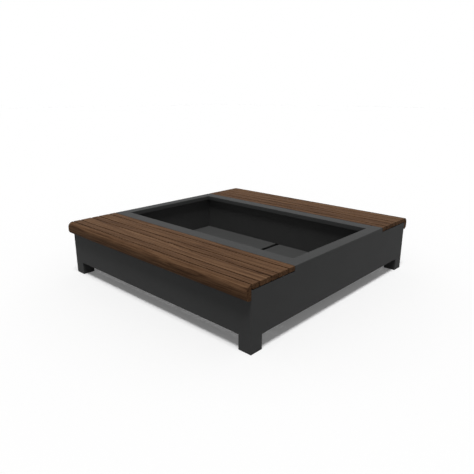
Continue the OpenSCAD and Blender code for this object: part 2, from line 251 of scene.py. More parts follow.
def powder_coat(name, colour, gloss, dust=0.0):
    """Matt powder coat: a fine pebbled skin over a faint cloudiness, with dust where asked."""
    coat, tree, shader, place = new_material(name)
    clouds = noise(tree, place, *CLOUDS)
    pebble = noise(tree, place, *PEBBLE)
    speck = add_node(tree, "ShaderNodeTexVoronoi", {"Vector": place, "Scale": SPECK_SCALE},
                     feature="F1").outputs["Distance"]
    dark, pale = [tuple(c * share for c in colour) + (1,) for share in CLOUD_SHARES]
    tone = mix(tree, clouds, dark, pale)
    if dust:
        settled = remap(tree, noise(tree, place, *DUST), DUST_RANGE, (0.0, dust))
        tone = mix(tree, settled, tone, DUST_COLOUR)
    connect(tree, shader, {"Base Color": tone, "Roughness": remap(tree, speck, SPECK_RANGE, COAT_ROUGH),
                           "Specular IOR Level": gloss, "Normal": relief(tree, pebble, *COAT_RELIEF)})
    return coat


ANTHRACITE = powder_coat("anthracite_powder_coat", (0.0545, 0.055, 0.055), gloss=0.085)


def bent_outline(corners):
    """The outer line of a folded sheet's section. A corner is (across, up, outer fold radius)."""
    line = []
    for i, (a, z, radius) in enumerate(corners):
        if not radius:
            line.append((a, z))
            continue
        here = Vector((a, z))
        back = (Vector(corners[i - 1][:2]) - here).normalized()
        on = (Vector(corners[i + 1][:2]) - here).normalized()
        centre = here + radius * (back + on)
        for k in range(FOLD_STEPS + 1):
            turn = math.radians(90) * k / FOLD_STEPS
            line.append(tuple(centre - radius * (on * math.cos(turn) + back * math.sin(turn))))
    return line


def add_sheet(bm, corners, stations, place, keep=lambda a, z, s: True):
    """Lays the outer face of a folded sheet into bm, cell by cell, leaving out what is notched."""
    line = bent_outline(corners)
    origin = Vector(place(0, 0, 0))
    outward = Vector(place(1, 0, 0)) - origin
    along = Vector(place(0, 0, 1)) - origin
    turned = along.cross(Vector((0, 0, 1))).dot(outward) < 0
    grid = [[bm.verts.new(place(a, z, s)) for s in stations] for a, z in line]
    for i, ((a0, z0), (a1, z1)) in enumerate(zip(line, line[1:])):
        for j, (s0, s1) in enumerate(zip(stations, stations[1:])):
            if keep((a0 + a1) / 2, (z0 + z1) / 2, (s0 + s1) / 2):
                cell = [grid[i][j], grid[i][j + 1], grid[i + 1][j + 1], grid[i + 1][j]]
                bm.faces.new(cell[::-1] if turned else cell)


def new_piece(name, bm, material):
    """A mesh object from bm with loose points cleared and one material."""
    bmesh.ops.remove_doubles(bm, verts=bm.verts, dist=MERGE_GAP)
    loose = [v for v in bm.verts if not v.link_faces]
    bmesh.ops.delete(bm, geom=loose, context="VERTS")
    mesh = bpy.data.meshes.new(name)
    bm.to_mesh(mesh)
    bm.free()
    mesh.materials.append(material)
    piece = bpy.data.objects.new(name, mesh)
    bpy.context.scene.collection.objects.link(piece)
    return piece


def ease(piece, width, limit=SHARP_DEG):
    """Breaks the sharp edges and keeps the flats flat to the light."""
    edge = piece.modifiers.new("eased", "BEVEL")
    edge.width = width
    edge.segments = EASE_STEPS
    edge.limit_method = "ANGLE"
    edge.angle_limit = math.radians(limit)
    edge.use_clamp_overlap = True
    piece.data.shade_smooth()
    flats = piece.modifiers.new("flats", "WEIGHTED_NORMAL")
    flats.keep_sharp = False
    flats.weight = FLAT_WEIGHT


def settle(piece, slot, *nodes):
    """Fixes the modifiers into the mesh, then hangs the piece under the root body and hides the CAD nodes
    it stands for.
    """
    bpy.context.view_layer.update()
    graph = bpy.context.evaluated_depsgraph_get()
    mesh = bpy.data.meshes.new_from_object(piece.evaluated_get(graph), preserve_all_data_layers=True,
                                           depsgraph=graph)
    piece.modifiers.clear()
    piece.data = mesh
    mesh.name = piece.name
    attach(piece, "root")
    if nodes:
        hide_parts(*nodes)


def sheet_piece(name, bm, thickness, material, slot, *nodes):
    """A folded sheet given its thickness behind the outer face, with deburred edges."""
    piece = new_piece(name, bm, material)
    wall = piece.modifiers.new("wall", "SOLIDIFY")
    wall.thickness = thickness
    wall.offset = -1
    wall.use_even_offset = True
    wall.use_quality_normals = True
    ease(piece, DEBURR)
    settle(piece, slot, *nodes)


def mirrored(stops):
    """Stations along a piece, given for one half of it."""
    return sorted({-s for s in stops} | set(stops))


for side, name in ((1, "right"), (-1, "left")):
    bm = bmesh.new()
    corner_y = HALF_W - CORNER
    lip_end = OPEN_Y + SHEET

    def side_kept(a, z, s):
        s = abs(s)
        if z < LEG_Z + FOLD_R and s > corner_y:
            return False
        if z > STEP_Z and s > CROSS_Y:
            return False
        return not (a < OPEN_X + FOLD_R and z > STEP_Z and s > lip_end)

    def place(a, z, s):
        return (side * a, s, z)

    stops = mirrored([HALF_W, corner_y, CROSS_Y, lip_end])
    add_sheet(bm, [(HALF_L - LEDGE, LEG_Z, 0), (HALF_L, LEG_Z, FOLD_R), (HALF_L, STEP_Z, 0),
                   (HALF_L, RIM_Z, FOLD_R), (OPEN_X, RIM_Z, FOLD_R), (OPEN_X, RIM_Z - LIP, 0)],
              stops, place, side_kept)
    for end in (1, -1):
        down = sorted([end * corner_y, end * HALF_W])
        add_sheet(bm, [(HALF_L, LEG_Z, 0), (HALF_L, LEG_Z + FOLD_R, 0)], down, place)
        across = sorted([end * lip_end, end * CROSS_Y])
        add_sheet(bm, [(OPEN_X + FOLD_R, RIM_Z, 0), (OPEN_X, RIM_Z, 0)], across, place)
    sheet_piece(f"side_skin_{name}", bm, SHEET, ANTHRACITE, "powder_coat", f"side_panel_{name}")

for end, name in ((-1, "front"), (1, "back")):
    web_l = HALF_L - SHEET
    corner_x = HALF_L - CORNER
    flange_x = HALF_L - LEDGE

    def place(a, z, s):
        return (s, end * a, z)

    def panel_kept(a, z, s):
        return z > LEG_Z + FOLD_R or abs(s) < corner_x

    bm = bmesh.new()
    add_sheet(bm, [(HALF_W - LEDGE, LEG_Z, 0), (HALF_W, LEG_Z, FOLD_R), (HALF_W, STEP_Z, FOLD_R),
                   (HALF_W - LEDGE, STEP_Z, 0)],
              mirrored([web_l, corner_x]), place, panel_kept)
    for turn in (1, -1):
        down = sorted([turn * corner_x, turn * web_l])
        add_sheet(bm, [(HALF_W, LEG_Z, 0), (HALF_W, LEG_Z + FOLD_R, 0)], down, place)
    sheet_piece(f"end_skin_{name}", bm, SHEET, ANTHRACITE, "powder_coat", f"{name}_panel")

    def wall_kept(a, z, s):
        s = abs(s)
        if z < LEG_Z + FOLD_R and s > flange_x:
            return False
        return z < RIM_Z - FOLD_R and a > CROSS_Y - FOLD_R or s < OPEN_X

    bm = bmesh.new()
    add_sheet(bm, [(CROSS_Y - LEDGE, LEG_Z, 0), (CROSS_Y, LEG_Z, FOLD_R), (CROSS_Y, RIM_Z, FOLD_R),
                   (OPEN_Y, RIM_Z, FOLD_R), (OPEN_Y, RIM_Z - LIP, 0)],
              mirrored([web_l, flange_x, OPEN_X]), place, wall_kept)
    sheet_piece(f"rim_wall_{name}", bm, SHEET, ANTHRACITE, "powder_coat", f"cross_wall_{name}")


# ---------------------------------------------------------------- Planting bed
# Four inner walls of 2 mm sheet stand back behind the lip on two floor trays of 3 mm
# sheet, with an open drainage slot between the trays. Square tubes carry the floor.
INNER = 0.002
INNER_R = 0.003
INNER_FLANGE = 0.020
TRAY_FOLD_STEPS = 4
BEAM_EASE = 0.0006
# In copies of CAD solids: points nearer than the gap become one, faces within the flat angle
# become one, and edges above the sharp angle are eased.
SOLID_GAP = 2e-6
SOLID_FLAT_DEG, SOLID_SHARP_DEG = 0.5, 30
BED_STEEL = powder_coat("dusty_powder_coat", (0.056, 0.0565, 0.0562), gloss=0.05, dust=0.05)
FRAME_STEEL = powder_coat("frame_paint", (0.045, 0.046, 0.047), gloss=0.2)

bed_low, bed_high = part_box("inner_wall_back")
bed_x, bed_y, bed_z, wall_top = bed_high.x, bed_low.y, bed_low.z, bed_high.z


def channel(face):
    """The section of an inner wall whose face stands at -face, with both flanges behind it."""
    return [(-face - INNER_FLANGE, bed_z, 0), (-face, bed_z, INNER_R), (-face, wall_top, INNER_R),
            (-face - INNER_FLANGE, wall_top, 0)]


for end, name in ((-1, "front"), (1, "back")):
    bm = bmesh.new()
    add_sheet(bm, channel(bed_y), [-bed_x, bed_x], lambda a, z, s: (s, -end * a, z))
    sheet_piece(f"bed_wall_{name}", bm, INNER, BED_STEEL, "bed_steel", f"inner_wall_{name}")

for side, name in ((-1, "left"), (1, "right")):
    bm = bmesh.new()
    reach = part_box(f"inner_wall_{name}")[1].y
    add_sheet(bm, channel(bed_x), [-reach, reach], lambda a, z, s: (-side * a, s, z))
    sheet_piece(f"bed_wall_{name}", bm, INNER, BED_STEEL, "bed_steel", f"inner_wall_{name}")


def tray(low, high):
    """An upside-down tray: a flat top with edges turned down all round."""
    bm = bmesh.new()
    bmesh.ops.create_cube(bm, size=1)
    for v in bm.verts:
        v.co = Vector([low[i] if v.co[i] < 0 else high[i] for i in range(3)])
    under = [f for f in bm.faces if f.normal.z < -0.5]
    bmesh.ops.delete(bm, geom=under, context="FACES_ONLY")
    folds = [e for e in bm.edges if len(e.link_faces) == 2]
    bmesh.ops.bevel(bm, geom=folds, offset=FOLD_R, segments=TRAY_FOLD_STEPS, profile=0.5, affect="EDGES")
    return bm


for name in ("left", "right"):
    sheet_piece(f"bed_tray_{name}", tray(*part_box(f"floor_panel_{name}")), SHEET, BED_STEEL, "bed_steel",
                f"floor_panel_{name}")


def eased_copy(node, name, width, material, slot):
    """The CAD solid with its triangles joined into flats and its edges broken."""
    bm = bmesh.new()
    bm.from_mesh(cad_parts[node].data)
    bmesh.ops.remove_doubles(bm, verts=bm.verts, dist=SOLID_GAP)
    bmesh.ops.dissolve_limit(bm, angle_limit=math.radians(SOLID_FLAT_DEG), verts=bm.verts, edges=bm.edges)
    for f in bm.faces:
        f.material_index = 0
    piece = new_piece(name, bm, material)
    ease(piece, width, SOLID_SHARP_DEG)
    settle(piece, slot, node)


for i in range(1, 5):
    eased_copy(f"floor_beam_{i}", f"bed_beam_{i}", BEAM_EASE, FRAME_STEEL, "frame_steel")
for side in ("left", "right", "front", "back"):
    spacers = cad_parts[f"spacers_{side}"]
    spacers.data.materials.clear()
    spacers.data.materials.append(FRAME_STEEL)


# ---------------------------------------------------------------- Legs
# Four square tube legs, closed by a plate on top and bolted up to plates inside the body's
# corners, flush with the skin. A black rubber pad is pressed into each foot.
LEG_EASE, PLATE_EASE, PAD_EASE = 0.0008, 0.0006, 0.0010
RUBBER_DARK, RUBBER_PALE = (0.010, 0.010, 0.011, 1), (0.026, 0.026, 0.027, 1)
BLOOM, GRAIN = (60, 4), (1500, 1)  # noises: scale per metre and detail
RUBBER_ROUGH, RUBBER_RELIEF = 0.8, (0.3, 0.0002)


def rubber():
    """Black moulded rubber, faintly mottled."""
    made, tree, shader, place = new_material("black_rubber")
    bloom = noise(tree, place, *BLOOM)
    grain = noise(tree, place, *GRAIN)
    connect(tree, shader, {"Base Color": mix(tree, bloom, RUBBER_DARK, RUBBER_PALE),
                           "Roughness": RUBBER_ROUGH, "Normal": relief(tree, grain, *RUBBER_RELIEF)})
    return made


RUBBER = rubber()
for end in ("front", "back"):
    for side in ("left", "right"):
        corner = f"{end}_{side}"
        eased_copy(f"leg_{corner}", f"leg_tube_{corner}", LEG_EASE, ANTHRACITE, "powder_coat")
        eased_copy(f"corner_plate_{corner}", f"leg_plate_{corner}", PLATE_EASE, FRAME_STEEL, "frame_steel")
        eased_copy(f"foot_pad_{corner}", f"rubber_foot_{corner}", PAD_EASE, RUBBER, "rubber")


# ---------------------------------------------------------------- Seat bearers
# Four bearers under each seat, welded from flat bar: a flat under the slats, an upright
# rib, and a plate bolted to the cross wall.
BEARER_EASE = 0.0006

for end in ("front", "back"):
    for i in range(1, 5):
        eased_copy(f"{end}_bearer_{i}", f"{end}_seat_bearer_{i}", BEARER_EASE, FRAME_STEEL, "frame_steel")


# ---------------------------------------------------------------- Timber
# Five slats and a rounded nose on each seat, planed hardwood stained red-brown. Each
# board is cut from its own place in the log, so rings run on from its face to its end.
EDGE_R = 0.003
EDGE_COUNT = 5
ARRIS = 0.0015
END_EASE = 0.0010
SLAT_SHARP_DEG, NOSE_SHARP_DEG = 70, 60
NOSE_UPPER_R, NOSE_LOWER_R = 0.030, 0.0430
NOSE_COUNT, BACK_COUNT = 16.0, 4.0

# Noises of the timber: waves per metre along the grain and twice across it, detail, roughness.
SWAY = ((0.9, 5, 5), 2, 0.55)
WAVER = ((5, 30, 30), 2, 0.55)
STREAKS = ((2.2, 95, 95), 4, 0.7)
FIBRES = ((9, 900, 900), 3, 0.6)
PORES = ((45, 1900, 1900), 1, 0.5)
SWAY_REACH, WAVER_REACH = 0.060, 0.006
RINGS_PER_M, RING_DETAIL, RING_ROUGH = 230, 2.5, 0.6
RING_SHARE, STREAK_SHARE, FIBRE_SHARE, TONE_SHARE = 0.50, 0.80, 0.22, 0.045
FIGURE_SHIFT = 0.248
DARK_WOOD = (0.33, (0.035, 0.0162, 0.0085, 1))
MID_WOOD = (0.50, (0.1035, 0.0545, 0.0290, 1))
PALE_WOOD = (0.70, (0.190, 0.107, 0.058, 1))
PORE_RANGE, PORE_SHARE, PORE_COLOUR = (0.62, 0.72), (0.0, 0.55), (0.022, 0.010, 0.006, 1)
END_GRAIN = (1.0, 0.98, 0.95, 1)
END_GRAIN_POWER = 4
# Painted shade on the timber: heights of the normal between which the colour is scaled, and the shares of
# colour it keeps.
UNDERSIDE_SHADE_RANGE, UNDERSIDE_SHADE = (-0.6, 0.8), (0.65, 1.0)
FIBRE_RANGE, WOOD_ROUGH = (0.3, 0.7), (0.58, 0.70)
FIBRE_HEIGHT, WOOD_RELIEF = 0.6, (0.35, 0.0004)
WOOD_GLOSS = 0.02
LOG_NEAR, LOG_FAR, LOG_SEED = (0, -0.16, 0.02), (40, 0.16, 0.14), 11
TONE_SEED = 1118


def vectors(tree, kind, first, second):
    """The vector that comes of two."""
    return add_node(tree, "ShaderNodeVectorMath", {0: first, 1: second}, operation=kind).outputs[0]


def hardwood():
    """Solid timber: growth rings round the log's heart, fibres and pores along it."""
    made, tree, shader, place = new_material("stained_hardwood")
    log = add_node(tree, "ShaderNodeAttribute", attribute_name="log_place").outputs["Vector"]
    tint = add_node(tree, "ShaderNodeAttribute", attribute_name="board_tone").outputs["Fac"]
    at = vectors(tree, "ADD", place, log)

    def along_grain(waves, detail, rough):
        return noise(tree, vectors(tree, "MULTIPLY", at, waves), 1, detail, rough)

    def add_share(sum_so_far, value, share):
        return maths(tree, "ADD", sum_so_far, maths(tree, "MULTIPLY", value, share))

    heart = length(tree, vectors(tree, "MULTIPLY", at, (0, 1, 1)))
    radius = add_share(heart, along_grain(*SWAY), SWAY_REACH)
    radius = add_share(radius, along_grain(*WAVER), WAVER_REACH)
    rings = add_node(tree, "ShaderNodeTexNoise",
                     {"W": maths(tree, "MULTIPLY", radius, RINGS_PER_M), "Scale": 1, "Detail": RING_DETAIL,
                      "Roughness": RING_ROUGH}, noise_dimensions="1D").outputs["Fac"]
    fibres = along_grain(*FIBRES)
    pores = remap(tree, along_grain(*PORES), PORE_RANGE, PORE_SHARE)

    figure = maths(tree, "MULTIPLY", rings, RING_SHARE)
    figure = add_share(figure, along_grain(*STREAKS), STREAK_SHARE)
    figure = add_share(figure, fibres, FIBRE_SHARE)
    figure = maths(tree, "SUBTRACT", figure, FIGURE_SHIFT)
    figure = add_share(figure, tint, TONE_SHARE)
    ramp = add_node(tree, "ShaderNodeValToRGB", {0: figure})
    stops = ramp.color_ramp.elements
    stops[0].position, stops[0].color = DARK_WOOD
    stops[1].position, stops[1].color = PALE_WOOD
    stops.new(MID_WOOD[0]).color = MID_WOOD[1]
    tone = mix(tree, pores, ramp.outputs[0], PORE_COLOUR)

    facing = add_node(tree, "ShaderNodeNewGeometry").outputs
    lengthwise = parts(tree, facing["True Normal"])["X"]
    end_on = maths(tree, "POWER", maths(tree, "ABSOLUTE", lengthwise), END_GRAIN_POWER)
    tone = mix(tree, end_on, tone, END_GRAIN, "MULTIPLY")
    # Painted shade: the colour is kept full on top and scaled down on the sides and undersides of the
    # boards, as the light falls.
    painted_underside_shade = remap(tree, parts(tree, facing["Normal"])["Z"], UNDERSIDE_SHADE_RANGE, UNDERSIDE_SHADE)
    tone = add_node(tree, "ShaderNodeVectorMath", {0: tone, "Scale": painted_underside_shade}, operation="SCALE").outputs[0]

    height = maths(tree, "SUBTRACT", maths(tree, "MULTIPLY", fibres, FIBRE_HEIGHT), pores)
    connect(tree, shader, {"Base Color": tone, "Roughness": remap(tree, fibres, FIBRE_RANGE, WOOD_ROUGH),
                           "Specular IOR Level": WOOD_GLOSS, "Normal": relief(tree, height, *WOOD_RELIEF)})
    return made


HARDWOOD = hardwood()


def add_inputs(tree, *sockets):
    """Gives a Geometry Nodes tree named inputs and a Geometry output; returns what to link from."""
    for name, kind in sockets:
        tree.interface.new_socket(name, in_out="INPUT", socket_type="NodeSocket" + kind)
    tree.interface.new_socket("Geometry", in_out="OUTPUT", socket_type="NodeSocketGeometry")
    return add_node(tree, "NodeGroupInput").outputs


def finish_tree(tree, geometry, material):
    """Ends a tree: instances made real, one material, out."""
    real = add_node(tree, "GeometryNodeRealizeInstances", {"Geometry": geometry})
    painted = add_node(tree, "GeometryNodeSetMaterial", {"Geometry": real.outputs[0], "Material": material})
    add_node(tree, "NodeGroupOutput", {"Geometry": painted.outputs[0]})


def run_tree(name, tree, values):
    """A piece made by a Geometry Nodes tree from an empty mesh and the values of its inputs."""
    piece = bpy.data.objects.new(name, bpy.data.meshes.new(name))
    bpy.context.scene.collection.objects.link(piece)
    maker = piece.modifiers.new("maker", "NODES")
    maker.node_group = tree
    for item in tree.interface.items_tree:
        if item.in_out == "INPUT" and item.name in values:
            maker[item.identifier] = values[item.name]
    return piece


def store(tree, geometry, name, value, kind):
    """Writes a named value on every point."""
    return add_node(tree, "GeometryNodeStoreNamedAttribute",
                    {"Geometry": geometry, "Name": name, "Value": value}, data_type=kind,
                    domain="POINT").outputs[0]


def board_tree(name, section, *sizes):
    """A board along X: section(tree, inputs) gives its closed outline as a curve in Y and Z."""
    tree = bpy.data.node_groups.new(name, "GeometryNodeTree")
    inputs = add_inputs(tree, ("Length", "Float"), *[(size, "Float") for size in sizes],
                        ("Middle", "Vector"), ("Board", "Int"), ("Timber", "Material"))
    outline = section(tree, inputs)
    ends = [add_node(tree, "ShaderNodeCombineXYZ", {"X": maths(tree, "MULTIPLY", inputs["Length"], share)})
            for share in (-0.5, 0.5)]
    spine = add_node(tree, "GeometryNodeCurvePrimitiveLine", {"Start": ends[0].outputs[0],
                                                              "End": ends[1].outputs[0]})
    upright = add_node(tree, "GeometryNodeSetCurveNormal", {"Curve": spine.outputs[0]}, mode="Z_UP")
    body = add_node(tree, "GeometryNodeCurveToMesh",
                    {"Curve": upright.outputs[0], "Profile Curve": outline, "Fill Caps": True})
    placed = add_node(tree, "GeometryNodeTransform",
                      {"Geometry": body.outputs[0], "Translation": inputs["Middle"]})
    spread = add_node(tree, "FunctionNodeRandomValue",
                      {0: LOG_NEAR, 1: LOG_FAR, "ID": inputs["Board"], "Seed": LOG_SEED},
                      data_type="FLOAT_VECTOR").outputs[0]
    tone = add_node(tree, "FunctionNodeRandomValue",
                    {2: -1.0, 3: 1.0, "ID": inputs["Board"], "Seed": TONE_SEED},
                    data_type="FLOAT").outputs[1]
    away = vectors(tree, "SUBTRACT", spread, inputs["Middle"])
    marked = store(tree, placed.outputs[0], "log_place", away, "FLOAT_VECTOR")
    finish_tree(tree, store(tree, marked, "board_tone", tone, "FLOAT"), inputs["Timber"])
    return tree


def rounded(tree, width, height, count, radius):
    """A closed rectangle with its corners rounded by a count and a radius, each a value or a field."""
    box = add_node(tree, "GeometryNodeCurvePrimitiveQuadrilateral", {"Width": width, "Height": height},
                   mode="RECTANGLE")
    return add_node(tree, "GeometryNodeFilletCurve",
                    {"Curve": box.outputs[0], "Count": count, "Radius": radius}, mode="POLY").outputs[0]


def slat_section(tree, inputs):
    """A rectangle with well-rounded upper edges and barely broken lower ones."""
    up = parts(tree, add_node(tree, "GeometryNodeInputPosition").outputs[0])["Y"]
    upper = maths(tree, "GREATER_THAN", up, 0.0)
    radius = maths(tree, "MAXIMUM", maths(tree, "MULTIPLY", upper, inputs["Edge radius"]), ARRIS)
    return rounded(tree, inputs["Width"], inputs["Thickness"], EDGE_COUNT, radius)


def nose_section(tree, inputs):
    """A flat back and a front rounded over, more widely below than above."""
    place = parts(tree, add_node(tree, "GeometryNodeInputPosition").outputs[0])
    front = maths(tree, "GREATER_THAN", maths(tree, "MULTIPLY", place["X"], inputs["Front side"]), 0.0)
    upper = maths(tree, "GREATER_THAN", place["Y"], 0.0)
    lower = maths(tree, "SUBTRACT", 1.0, upper)
    radius = maths(tree, "ADD", maths(tree, "MULTIPLY", upper, inputs["Upper radius"]),
                   maths(tree, "MULTIPLY", lower, inputs["Lower radius"]))
    radius = maths(tree, "MAXIMUM", maths(tree, "MULTIPLY", radius, front), ARRIS)
    count = maths(tree, "ADD", maths(tree, "MULTIPLY", front, NOSE_COUNT), BACK_COUNT)
    return rounded(tree, inputs["Depth"], inputs["Height"], count, radius)


slat_tree = board_tree("seat_slat", slat_section, "Width", "Thickness", "Edge radius")
nose_tree = board_tree("seat_nose", nose_section, "Depth", "Height", "Upper radius", "Lower radius",
                       "Front side")
board_number = 0
for end in ("front", "back"):
    for i in range(1, 6):
        low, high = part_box(f"{end}_slat_{i}")
        size = high - low
        board_number += 1
        board = run_tree(f"{end}_seat_board_{i}", slat_tree,
                         {"Length": size.x, "Width": size.y, "Thickness": size.z, "Edge radius": EDGE_R,
                          "Middle": (low + high) / 2, "Board": board_number, "Timber": HARDWOOD})
        ease(board, END_EASE, SLAT_SHARP_DEG)
        settle(board, "timber", f"{end}_slat_{i}")

for end, facing in (("front", -1), ("back", 1)):
    low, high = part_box(f"{end}_nose")
    size = high - low
    board_number += 1
    board = run_tree(f"{end}_seat_nose", nose_tree,
                     {"Length": size.x, "Depth": size.y, "Height": size.z, "Upper radius": NOSE_UPPER_R,
                      "Lower radius": NOSE_LOWER_R, "Front side": -1.0 * facing,
                      "Middle": (low + high) / 2, "Board": board_number, "Timber": HARDWOOD})
    ease(board, END_EASE, NOSE_SHARP_DEG)
    settle(board, "timber", f"{end}_nose")


# ---------------------------------------------------------------- Fixings
# Zinc-plated bolts and screws: slats from below, noses from behind the panel, bearers to
# the cross walls and panels, legs to the corner plates. None shows from above.
ZINC_DARK, ZINC_PALE = (0.42, 0.43, 0.44, 1), (0.60, 0.60, 0.58, 1)
BLOTCH = (260, 3)  # noise: scale per metre and detail
ZINC_ROUGH = (0.28, 0.45)


def zinc():
    """Bright zinc plating: pale metal with a faint crystalline blotch."""
    made, tree, shader, place = new_material("zinc_plating")
    blotch = noise(tree, place, *BLOTCH)
    connect(tree, shader, {"Base Color": mix(tree, blotch, ZINC_DARK, ZINC_PALE), "Metallic": 1.0,
                           "Roughness": remap(tree, blotch, (0.0, 1.0), ZINC_ROUGH)})
    return made


ZINC = zinc()

# Turned outlines are rings of height, radius and kind, as shares of a head's height and radius;
# a hexagon's radius is the distance to a flat.
ROUND, HEXAGON = 0, 6
PAN_HEAD = ((-0.35, 0.42, HEXAGON), (-1, 0.45, HEXAGON), (-1, 0.62, ROUND), (-0.85, 0.84, ROUND),
            (-0.45, 0.98, ROUND), (0, 1, ROUND))
HEX_HEAD = ((0, 0.96, ROUND), (0.10, 1, HEXAGON), (0.84, 1, HEXAGON), (1, 0.92, ROUND), (0.96, 0.55, ROUND))
HEX_NUT = ((-1, 0.92, ROUND), (-0.86, 1, HEXAGON), (-0.14, 1, HEXAGON), (0, 0.96, ROUND))
SUNK_HEAD = ((-0.5, 0.5, ROUND), (0, 0.98, ROUND), (0, 0.34, HEXAGON), (-0.3, 0.32, HEXAGON))
# Times the thread's diameter: heads and nuts, and the ends of screws and shanks.
HEAD_W, HEAD_T, NUT_T, PAN_T = 1.60, 0.64, 0.64, 0.6
POINT_R, TAIL_R, TAIL_H = 0.1, 0.40, 0.08
SHOULDER = 0.0001
AROUND = 24
TURNED_SMOOTH_DEG = 35


def turned_part(rings):
    """A part turned on the Z axis through rings of (height, radius, sides), closed at both ends."""
    bm = bmesh.new()
    loops = []
    for height, radius, sides in rings:
        loop = []
        for k in range(AROUND):
            angle = math.tau * k / AROUND
            reach = radius
            if sides:
                share = math.tau / sides
                reach = radius / math.cos((angle + share / 2) % share - share / 2)
            loop.append(bm.verts.new((reach * math.cos(angle), reach * math.sin(angle), height)))
        loops.append(loop)
    for lower, upper in zip(loops, loops[1:]):
        for k in range(AROUND):
            after = (k + 1) % AROUND
            bm.faces.new((lower[k], lower[after], upper[after], upper[k]))
    for loop in (loops[0][::-1], loops[-1]):
        centre = bm.verts.new((0, 0, loop[0].co.z))
        for k in range(AROUND):
            bm.faces.new((centre, loop[k], loop[(k + 1) % AROUND]))
    return bm


def shaped(outline, base, height, radius):
    """A head's or nut's rings at its real size and place."""
    return [(base + up * height, out * radius, kind) for up, out, kind in outline]


def nut_and_tail(d, grip):
    """The end of a shank and the nut on it, a grip below zero."""
    nut, end = d * NUT_T, -grip - d
    return [(end, TAIL_R * d, ROUND), (end + TAIL_H * d, d / 2, ROUND),
            (-grip - nut - SHOULDER, d / 2, ROUND), *shaped(HEX_NUT, -grip, nut, d * HEAD_W / 2)]


def pan_screw(d, reach):
    """Pan head with a hexagon socket below zero, shank and point above."""
    return turned_part([*shaped(PAN_HEAD, 0, d * PAN_T, d), (SHOULDER, d / 2, ROUND),
                        (reach - d, d / 2, ROUND), (reach, POINT_R * d, ROUND)])


def hex_shank(d, grip):
    """A hexagon head above zero, and below it the shank, a nut and the shank's end."""
    return turned_part([*nut_and_tail(d, grip), (-grip + SHOULDER, d / 2, ROUND), (-SHOULDER, d / 2, ROUND),
                        *shaped(HEX_HEAD, 0, d * HEAD_T, d * HEAD_W / 2)])


def sunk_bolt(d, grip):
    """A countersunk head flush at zero with a hexagon socket, and a nut below."""
    return turned_part([*nut_and_tail(d, grip), (-grip + SHOULDER, d / 2, ROUND),
                        *shaped(SUNK_HEAD, 0, d, d)])


fixing_tree = bpy.data.node_groups.new("fixings", "GeometryNodeTree")
inputs = add_inputs(fixing_tree, ("Places", "Object"), ("Fixing", "Object"), ("Seed", "Int"),
                    ("Finish", "Material"))
points = add_node(fixing_tree, "GeometryNodeObjectInfo", {"Object": inputs["Places"]})
one = add_node(fixing_tree, "GeometryNodeObjectInfo", {"Object": inputs["Fixing"], "As Instance": True})
aim = add_node(fixing_tree, "GeometryNodeInputNamedAttribute", {"Name": "aim"}, data_type="FLOAT_VECTOR")
aimed = add_node(fixing_tree, "FunctionNodeAlignRotationToVector", {"Vector": aim.outputs[0]}, axis="Z")
spin = add_node(fixing_tree, "FunctionNodeRandomValue", {2: 0.0, 3: math.tau, "Seed": inputs["Seed"]},
                data_type="FLOAT")
about = add_node(fixing_tree, "FunctionNodeAxisAngleToRotation",
                 {"Axis": (0, 0, 1), "Angle": spin.outputs[1]})
spun = add_node(fixing_tree, "FunctionNodeRotateRotation",
                {"Rotation": aimed.outputs[0], "Rotate By": about.outputs[0]}, rotation_space="LOCAL")
copies = add_node(fixing_tree, "GeometryNodeInstanceOnPoints",
                  {"Points": points.outputs["Geometry"], "Instance": one.outputs["Geometry"],
                   "Rotation": spun.outputs[0]})
finish_tree(fixing_tree, copies.outputs[0], inputs["Finish"])


def marker(name, points, edges):
    """A helper object that only carries points and edges for a tree to read."""
    mesh = bpy.data.meshes.new(name)
    mesh.from_pydata(points, edges, [])
    made = bpy.data.objects.new(name, mesh)
    bpy.context.scene.collection.objects.link(made)
    return made


def fixings(name, shape, places, seed, *nodes):
    """One fixing put at every place; a place is a point and the direction of the fixing's Z."""
    one = new_piece(name + "_one", shape, ZINC)
    spots = marker(name + "_spots", [point for point, aim in places], [])
    spots.data.attributes.new("aim", "FLOAT_VECTOR", "POINT").data.foreach_set(
        "vector", [c for point, aim in places for c in aim])
    piece = run_tree(name, fixing_tree, {"Places": spots, "Fixing": one, "Seed": seed, "Finish": ZINC})
    settle(piece, "zinc", *nodes)
    piece.data.shade_smooth()
    piece.data.set_sharp_from_angle(angle=math.radians(TURNED_SMOOTH_DEG))
    for helper in (one, spots):
        bpy.data.objects.remove(helper)


BAR = 0.006
BITE = 0.022
SLAT_SCREW_D, NOSE_SCREW_D, BEARER_BOLT_D, LEG_BOLT_D = 0.005, 0.006, 0.008, 0.010
SCREW_EDGE = 0.012
BOLT_RISE = 0.012
NOSE_SCREW_DROPS = (0.059, 0.079)
NOSE_SCREW_N = 5
LEG_BOLT_HALF_PITCH = 0.026
LEG_CAP = 0.006
BOTH = (-1, 1)

bearer_low, bearer_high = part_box("back_bearer_1")
PAIR = BAR / 2 + (bearer_high.x - bearer_low.x) / 4
slat_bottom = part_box("back_slat_1")[0].z
bearers_x = [sum(c.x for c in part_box(f"back_bearer_{i}")) / 2 for i in range(1, 5)]
pairs_x = [x + side * PAIR for x in bearers_x for side in BOTH]
slats_y = [sum(c.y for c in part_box(f"back_slat_{i}")) / 2 for i in range(1, 6)]
screws_y = [min(y, HALF_W - LEDGE - SCREW_EDGE) for y in slats_y]
nose_x = [(i - (NOSE_SCREW_N - 1) / 2) * 2 * HALF_L / NOSE_SCREW_N for i in range(NOSE_SCREW_N)]
plate_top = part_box("corner_plate_back_right")[1].z
leg_low, leg_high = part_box("leg_back_right")
leg_mid = (leg_low + leg_high) / 2

